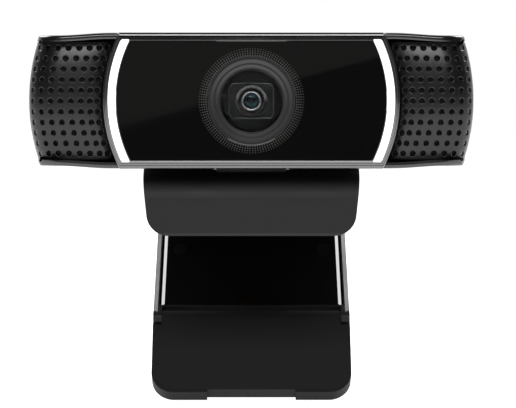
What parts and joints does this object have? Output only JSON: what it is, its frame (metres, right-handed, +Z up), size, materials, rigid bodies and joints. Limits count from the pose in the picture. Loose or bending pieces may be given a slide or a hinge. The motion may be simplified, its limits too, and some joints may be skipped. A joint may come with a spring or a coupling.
{
  "type": "webcam with folding monitor clip",
  "caption": "Wide webcam: glossy front, round lens, two light strips, perforated end grilles, on a tilting clip with lip, folding leg, rubber foot and tripod thread.",
  "frame": {"origin": "mouth of the tripod thread in the underside of the clip plate", "axes": "+X along the head's width, -Y the way the lens looks, +Z up"},
  "size_m": [0.0952, 0.0689, 0.0815],
  "materials": {
    "clip_plastic": "matte, fine moulded grain",
    "leg_plastic": "satin, fine moulded grain",
    "gloss_panel": "high gloss",
    "pad_rubber": "soft matte",
    "shell_plastic": "satin gloss",
    "frame_plastic": "gloss",
    "faceplate_gloss": "high gloss",
    "grille_plastic": "satin",
    "light_guide": "translucent white",
    "ring_plastic": "satin, turned grooves",
    "window_glass": "clear, polished",
    "mask_plastic": "dead matt",
    "bracket_metal": "black, matt",
    "board_laminate": "solder mask",
    "sensor_ceramic": "satin",
    "housing_metal": "satin",
    "magnet_metal": "plated",
    "coil_wire": "enamelled copper",
    "barrel_plastic": "satin black",
    "lens_glass": "coated",
    "shield_steel": "tinned",
    "header_plastic": "ivory",
    "mic_metal": "plated",
    "mic_foam_soft": "open foam",
    "led_resin": "clear resin",
    "insert_brass": "machined",
    "washer_plastic": "self-lubricating, matt",
    "pin_steel": "ground",
    "screw_steel": "zinc plated",
    "gland_rubber": "matte"
  },
  "bodies": {
    "clip": {"clip_base": "clip_plastic", "plate_cover": "clip_plastic", "plate_cover_screws": "screw_steel", "tripod_insert": "insert_brass", "plate_pad": "pad_rubber", "lip_pad": "pad_rubber", "tilt_pin": "pin_steel", "tilt_washers": "washer_plastic", "leg_hinge_pin": "pin_steel", "leg_hinge_washers": "washer_plastic"},
    "leg": {"leg_frame": "leg_plastic", "leg_panel": "gloss_panel", "foot_hinge_pin": "pin_steel"},
    "foot": {"foot_shell": "pad_rubber", "foot_pad": "pad_rubber"},
    "lens": {"focus_coil": "coil_wire", "lens_barrel": "barrel_plastic", "front_lens": "lens_glass"},
    "head": {"rear_shell": "shell_plastic", "front_frame": "frame_plastic", "faceplate": "faceplate_gloss", "left_grille": "grille_plastic", "right_grille": "grille_plastic", "left_light_strip": "light_guide", "right_light_strip": "light_guide", "lens_ring": "ring_plastic", "lens_window": "window_glass", "lens_mask": "mask_plastic", "tilt_bracket": "bracket_metal", "bracket_screws": "screw_steel", "main_board": "board_laminate", "board_screws": "screw_steel", "image_sensor": "sensor_ceramic", "focus_housing": "housing_metal", "focus_magnet": "magnet_metal", "shield_can": "shield_steel", "cable_header": "header_plastic", "left_microphone": "mic_metal", "right_microphone": "mic_metal", "left_mic_foam": "mic_foam_soft", "right_mic_foam": "mic_foam_soft", "left_led": "led_resin", "right_led": "led_resin", "shell_screws": "screw_steel", "cable_gland": "gland_rubber"}
  },
  "joints": [
    {"name": "head_tilt", "type": "hinge", "parent": "clip", "child": "head", "pos_m": [0, -0.025, 0.0065], "axis": [-1, 0, 0], "range_deg": [-15, 25]},
    {"name": "leg_fold", "type": "hinge", "parent": "clip", "child": "leg", "pos_m": [0, 0.028, -0.001], "axis": [1, 0, 0], "range_deg": [-34, 110]},
    {"name": "foot_fold", "type": "hinge", "parent": "leg", "child": "foot", "pos_m": [0, -0.00534, -0.02578], "axis": [1, 0, 0], "range_deg": [-6, 50]},
    {"name": "lens_focus", "type": "slide", "parent": "head", "child": "lens", "axis": [0, -1, 0], "range_m": [0, 0.0004], "stiffness_N_per_m": 20}
  ]
}
